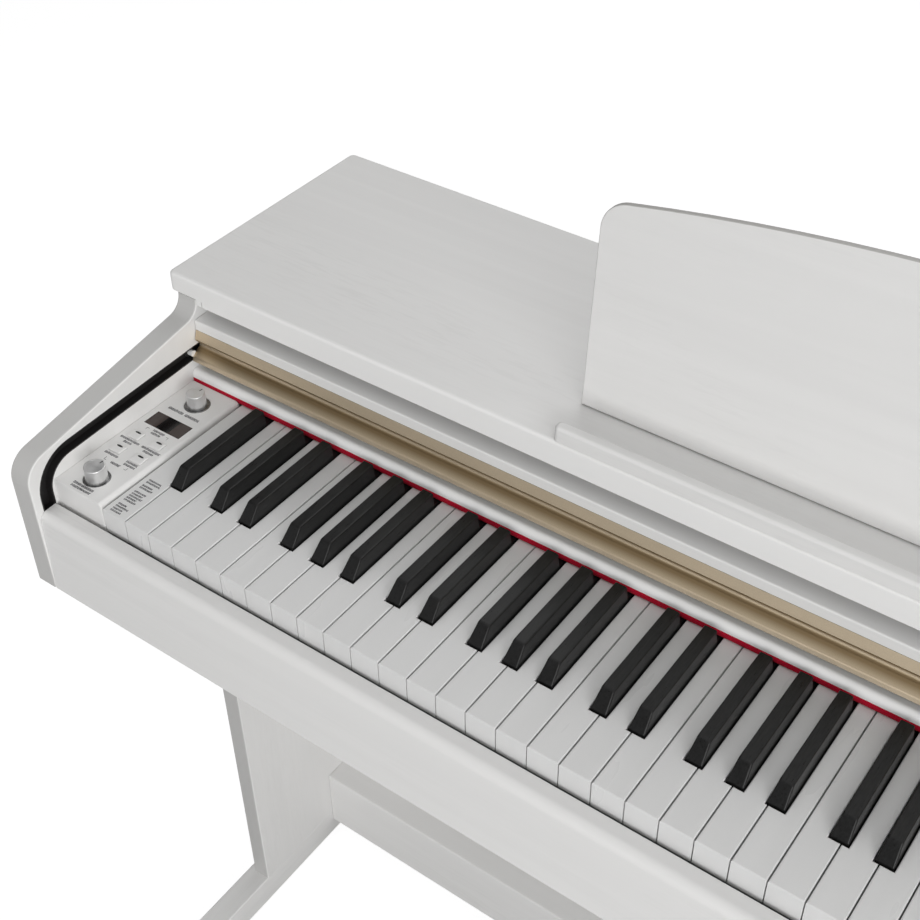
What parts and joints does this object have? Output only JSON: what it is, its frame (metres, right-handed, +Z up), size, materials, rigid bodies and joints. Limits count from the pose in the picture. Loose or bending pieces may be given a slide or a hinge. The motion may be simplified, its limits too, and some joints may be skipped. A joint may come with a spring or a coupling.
{
  "type": "digital piano",
  "caption": "Console digital piano on its stand: full-length weighted keyboard, sliding key cover, folding music rest, knobs and buttons left of the keys, three pedals.",
  "frame": {"origin": "on the floor, under the middle of the piano's box", "axes": "+X to the treble side, +Y to the back, +Z up; the player sits at -Y"},
  "size_m": [1.38, 0.4186, 1.0137],
  "materials": {
    "white_lacquer": "satin white lacquer",
    "white_plastic": "satin",
    "key_white": "satin",
    "key_black": "satin",
    "champagne_metal": "brushed champagne",
    "knob_metal": "turned",
    "black_plastic": "matte",
    "display": "gloss",
    "red_felt": "felt",
    "steel": "satin",
    "brass": "polished",
    "rubber": "matte",
    "circuit_board": "solder mask",
    "bed_board": "dark board",
    "speaker": "matte",
    "grille": "satin"
  },
  "bodies": {
    "cabinet": {"back_panel": "white_lacquer", "cabinet_screws": "steel", "circuit_boards": "circuit_board", "control_block": "white_plastic", "display_window": "display", "felt_strip": "red_felt", "foot_pads": "rubber", "groove_liners": "black_plastic", "key_bed": "bed_board", "key_frame": "steel", "key_pivot_rod": "steel", "keyslip": "white_lacquer", "kick_panel": "white_lacquer", "knob_collars": "steel", "music_ledge": "white_lacquer", "pedal_beam": "white_lacquer", "pedal_bracket": "steel", "pedal_shaft": "steel", "power_block": "white_plastic", "power_inlet": "black_plastic", "rest_brackets": "steel", "side_feet": "white_lacquer", "side_left": "white_lacquer", "side_right": "white_lacquer", "speaker_drivers": "speaker", "speaker_grilles": "grille", "stop_rail": "white_plastic", "top_panel": "white_lacquer"},
    "key_cover": {"cover_lip": "white_lacquer", "cover_board": "white_lacquer", "cover_trim": "champagne_metal", "cover_rollers": "white_plastic"},
    "music_rest": {"rest_panel": "white_lacquer", "rest_hinges": "steel"},
    "rest_prop": {"rest_prop": "steel"},
    "volume_knob": {"volume_knob": "knob_metal"},
    "data_knob": {"data_knob": "knob_metal"},
    "panel_button_1": {"panel_button_1": "white_plastic"},
    "panel_button_2": {"panel_button_2": "white_plastic"},
    "panel_button_3": {"panel_button_3": "white_plastic"},
    "panel_button_4": {"panel_button_4": "white_plastic"},
    "power_button": {"power_button": "white_plastic"},
    "pedal_soft": {"pedal_soft": "brass"},
    "pedal_middle": {"pedal_middle": "brass"},
    "pedal_sustain": {"pedal_sustain": "brass"},
    "adjuster": {"adjuster": "black_plastic"},
    "key_a_1": {"key_a_1": "key_white"},
    "key_a_sharp_1": {"key_a_sharp_1": "key_black"},
    "key_b_1": {"key_b_1": "key_white"},
    "key_c_1": {"key_c_1": "key_white"},
    "key_c_sharp_1": {"key_c_sharp_1": "key_black"},
    "key_d_1": {"key_d_1": "key_white"},
    "key_d_sharp_1": {"key_d_sharp_1": "key_black"},
    "key_e_1": {"key_e_1": "key_white"},
    "key_f_1": {"key_f_1": "key_white"},
    "key_f_sharp_1": {"key_f_sharp_1": "key_black"},
    "key_g_1": {"key_g_1": "key_white"},
    "key_g_sharp_1": {"key_g_sharp_1": "key_black"},
    "keys_white_others": {"keys_white_others": "key_white"},
    "keys_black_others": {"keys_black_others": "key_black"}
  },
  "joints": [
    {"name": "cover_slide", "type": "slide", "parent": "cabinet", "child": "key_cover", "axis": [0, -0.9994, -0.0359], "range_m": [0, 0.13]},
    {"name": "rest_fold", "type": "hinge", "parent": "cabinet", "child": "music_rest", "pos_m": [0, 0.03025, 0.8291], "axis": [1, 0, 0], "range_deg": [-85, 0]},
    {"name": "prop_swing", "type": "hinge", "parent": "cabinet", "child": "rest_prop", "pos_m": [0, 0.08745, 0.8265], "axis": [1, 0, 0], "range_deg": [-132.5, 0]},
    {"name": "volume_turn", "type": "hinge", "parent": "cabinet", "child": "volume_knob", "pos_m": [-0.6367, -0.05925, 0.738], "axis": [0, 0, 1], "range_deg": [-150, 150]},
    {"name": "data_turn", "type": "hinge", "parent": "cabinet", "child": "data_knob", "pos_m": [-0.6367, -0.16695, 0.738], "axis": [0, 0, 1], "range_deg": [-150, 150]},
    {"name": "button_1_press", "type": "slide", "parent": "cabinet", "child": "panel_button_1", "axis": [0, 0, -1], "range_m": [0, 0.0009], "stiffness_N_per_m": 800, "springref_m": -0.0005},
    {"name": "button_2_press", "type": "slide", "parent": "cabinet", "child": "panel_button_2", "axis": [0, 0, -1], "range_m": [0, 0.0009], "stiffness_N_per_m": 800, "springref_m": -0.0005},
    {"name": "button_3_press", "type": "slide", "parent": "cabinet", "child": "panel_button_3", "axis": [0, 0, -1], "range_m": [0, 0.0009], "stiffness_N_per_m": 800, "springref_m": -0.0005},
    {"name": "button_4_press", "type": "slide", "parent": "cabinet", "child": "panel_button_4", "axis": [0, 0, -1], "range_m": [0, 0.0009], "stiffness_N_per_m": 800, "springref_m": -0.0005},
    {"name": "power_press", "type": "slide", "parent": "cabinet", "child": "power_button", "axis": [0, 0, -1], "range_m": [0, 0.0012], "stiffness_N_per_m": 800, "springref_m": -0.0006},
    {"name": "pedal_soft_press", "type": "hinge", "parent": "cabinet", "child": "pedal_soft", "pos_m": [-0.07, 0.12525, 0.063], "axis": [1, 0, 0], "range_deg": [0, 6], "stiffness_Nm_per_rad": 20, "springref_deg": -3.44},
    {"name": "pedal_middle_press", "type": "hinge", "parent": "cabinet", "child": "pedal_middle", "pos_m": [0, 0.12525, 0.063], "axis": [1, 0, 0], "range_deg": [0, 6], "stiffness_Nm_per_rad": 20, "springref_deg": -3.44},
    {"name": "pedal_sustain_press", "type": "hinge", "parent": "cabinet", "child": "pedal_sustain", "pos_m": [0.07, 0.12525, 0.063], "axis": [1, 0, 0], "range_deg": [0, 6], "stiffness_Nm_per_rad": 20, "springref_deg": -3.44},
    {"name": "adjuster_screw", "type": "slide", "parent": "cabinet", "child": "adjuster", "axis": [0, 0, 1], "range_m": [0, 0.008]},
    {"name": "press_a_1", "type": "hinge", "parent": "cabinet", "child": "key_a_1", "pos_m": [0, 0.01325, 0.725], "axis": [1, 0, 0], "range_deg": [0, 2.8], "stiffness_Nm_per_rad": 1, "springref_deg": -6.88},
    {"name": "press_a_sharp_1", "type": "hinge", "parent": "cabinet", "child": "key_a_sharp_1", "pos_m": [0, 0.01325, 0.725], "axis": [1, 0, 0], "range_deg": [0, 3.2], "stiffness_Nm_per_rad": 1, "springref_deg": -6.88},
    {"name": "press_b_1", "type": "hinge", "parent": "cabinet", "child": "key_b_1", "pos_m": [0, 0.01325, 0.725], "axis": [1, 0, 0], "range_deg": [0, 2.8], "stiffness_Nm_per_rad": 1, "springref_deg": -6.88},
    {"name": "press_c_1", "type": "hinge", "parent": "cabinet", "child": "key_c_1", "pos_m": [0, 0.01325, 0.725], "axis": [1, 0, 0], "range_deg": [0, 2.8], "stiffness_Nm_per_rad": 1, "springref_deg": -6.88},
    {"name": "press_c_sharp_1", "type": "hinge", "parent": "cabinet", "child": "key_c_sharp_1", "pos_m": [0, 0.01325, 0.725], "axis": [1, 0, 0], "range_deg": [0, 3.2], "stiffness_Nm_per_rad": 1, "springref_deg": -6.88},
    {"name": "press_d_1", "type": "hinge", "parent": "cabinet", "child": "key_d_1", "pos_m": [0, 0.01325, 0.725], "axis": [1, 0, 0], "range_deg": [0, 2.8], "stiffness_Nm_per_rad": 1, "springref_deg": -6.88},
    {"name": "press_d_sharp_1", "type": "hinge", "parent": "cabinet", "child": "key_d_sharp_1", "pos_m": [0, 0.01325, 0.725], "axis": [1, 0, 0], "range_deg": [0, 3.2], "stiffness_Nm_per_rad": 1, "springref_deg": -6.88},
    {"name": "press_e_1", "type": "hinge", "parent": "cabinet", "child": "key_e_1", "pos_m": [0, 0.01325, 0.725], "axis": [1, 0, 0], "range_deg": [0, 2.8], "stiffness_Nm_per_rad": 1, "springref_deg": -6.88},
    {"name": "press_f_1", "type": "hinge", "parent": "cabinet", "child": "key_f_1", "pos_m": [0, 0.01325, 0.725], "axis": [1, 0, 0], "range_deg": [0, 2.8], "stiffness_Nm_per_rad": 1, "springref_deg": -6.88},
    {"name": "press_f_sharp_1", "type": "hinge", "parent": "cabinet", "child": "key_f_sharp_1", "pos_m": [0, 0.01325, 0.725], "axis": [1, 0, 0], "range_deg": [0, 3.2], "stiffness_Nm_per_rad": 1, "springref_deg": -6.88},
    {"name": "press_g_1", "type": "hinge", "parent": "cabinet", "child": "key_g_1", "pos_m": [0, 0.01325, 0.725], "axis": [1, 0, 0], "range_deg": [0, 2.8], "stiffness_Nm_per_rad": 1, "springref_deg": -6.88},
    {"name": "press_g_sharp_1", "type": "hinge", "parent": "cabinet", "child": "key_g_sharp_1", "pos_m": [0, 0.01325, 0.725], "axis": [1, 0, 0], "range_deg": [0, 3.2], "stiffness_Nm_per_rad": 1, "springref_deg": -6.88},
    {"name": "keys_white_others_press", "type": "hinge", "parent": "cabinet", "child": "keys_white_others", "pos_m": [0, 0.01325, 0.725], "axis": [1, 0, 0], "range_deg": [0, 2.8], "stiffness_Nm_per_rad": 45, "springref_deg": -6.88},
    {"name": "keys_black_others_press", "type": "hinge", "parent": "cabinet", "child": "keys_black_others", "pos_m": [0, 0.01325, 0.725], "axis": [1, 0, 0], "range_deg": [0, 3.2], "stiffness_Nm_per_rad": 31, "springref_deg": -6.88}
  ],
  "couplings": [
    {"joint": "prop_swing", "follows": "rest_fold", "ratio": 1.5529}
  ]
}
